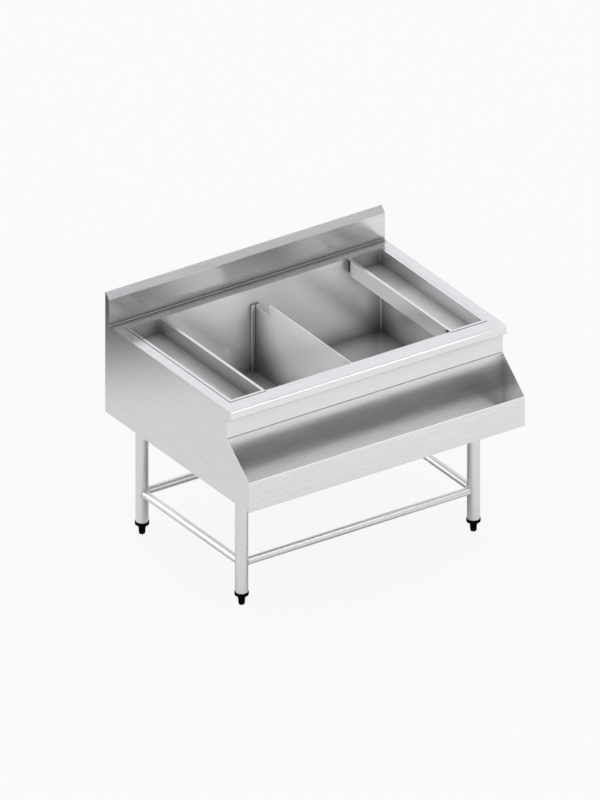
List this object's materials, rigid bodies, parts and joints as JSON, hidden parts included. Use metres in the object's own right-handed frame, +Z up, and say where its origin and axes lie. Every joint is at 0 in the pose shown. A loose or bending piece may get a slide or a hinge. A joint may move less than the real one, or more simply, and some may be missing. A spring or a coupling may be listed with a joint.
{
  "type": "cocktail station",
  "caption": "Stainless under-bar cocktail station: ice well with lift-out divider and drop-in trays, rear splash, front bottle rail, tubular stand with levelling feet.",
  "frame": {"origin": "on the floor, midway between the sides and midway between the back and the lip of the bottle rail", "axes": "+X to the right of someone facing the front, +Y to the back, +Z up; the front faces -Y"},
  "size_m": [1, 0.78, 0.8156],
  "materials": {
    "brushed_sheet": "brushed",
    "worktop_sheet": "brushed",
    "well_sheet": "brushed",
    "tube": "brushed",
    "zinc_hardware": "satin",
    "foam": "matte",
    "black_foot": "matte",
    "drain_steel": "satin",
    "gasket": "matte"
  },
  "bodies": {
    "body": {"side_panel_left": "brushed_sheet", "side_panel_right": "brushed_sheet", "back_panel": "brushed_sheet", "front_panel": "brushed_sheet", "worktop": "worktop_sheet", "speed_rail": "brushed_sheet", "base_pan": "brushed_sheet", "ice_well": "well_sheet", "divider_guide_rear": "brushed_sheet", "divider_guide_front": "brushed_sheet", "insulation_left": "foam", "insulation_right": "foam", "insulation_rear": "foam", "insulation_front": "foam", "insulation_base": "foam", "mounting_pads": "zinc_hardware", "leg_bolts": "zinc_hardware", "leg_plate_front_left": "zinc_hardware", "leg_plate_front_right": "zinc_hardware", "leg_plate_rear_left": "zinc_hardware", "leg_plate_rear_right": "zinc_hardware", "leg_front_left": "tube", "leg_front_right": "tube", "leg_rear_left": "tube", "leg_rear_right": "tube", "brace_front": "tube", "brace_rear": "tube", "brace_left": "tube", "brace_right": "tube", "foot_insert_front_left": "black_foot", "foot_insert_front_right": "black_foot", "foot_insert_rear_left": "black_foot", "foot_insert_rear_right": "black_foot", "drain_body": "drain_steel", "drain_gasket": "gasket", "drain_nut": "drain_steel", "drain_strainer": "drain_steel", "strainer_screw": "drain_steel"},
    "tray_left": {"tray_left": "brushed_sheet"},
    "tray_right": {"tray_right": "brushed_sheet"},
    "divider": {"divider": "brushed_sheet"},
    "foot_front_left": {"foot_front_left": "black_foot"},
    "foot_front_right": {"foot_front_right": "black_foot"},
    "foot_rear_left": {"foot_rear_left": "black_foot"},
    "foot_rear_right": {"foot_rear_right": "black_foot"}
  },
  "joints": [
    {"name": "tray_left_lift", "type": "slide", "parent": "body", "child": "tray_left", "axis": [0, 0, 1], "range_m": [0, 0.15]},
    {"name": "tray_right_lift", "type": "slide", "parent": "body", "child": "tray_right", "axis": [0, 0, 1], "range_m": [0, 0.15]},
    {"name": "divider_lift", "type": "slide", "parent": "body", "child": "divider", "axis": [0, 0, 1], "range_m": [0, 0.3]},
    {"name": "foot_front_left_screw", "type": "slide", "parent": "body", "child": "foot_front_left", "axis": [0, 0, -1], "range_m": [0, 0.025]},
    {"name": "foot_front_right_screw", "type": "slide", "parent": "body", "child": "foot_front_right", "axis": [0, 0, -1], "range_m": [0, 0.025]},
    {"name": "foot_rear_left_screw", "type": "slide", "parent": "body", "child": "foot_rear_left", "axis": [0, 0, -1], "range_m": [0, 0.025]},
    {"name": "foot_rear_right_screw", "type": "slide", "parent": "body", "child": "foot_rear_right", "axis": [0, 0, -1], "range_m": [0, 0.025]}
  ]
}
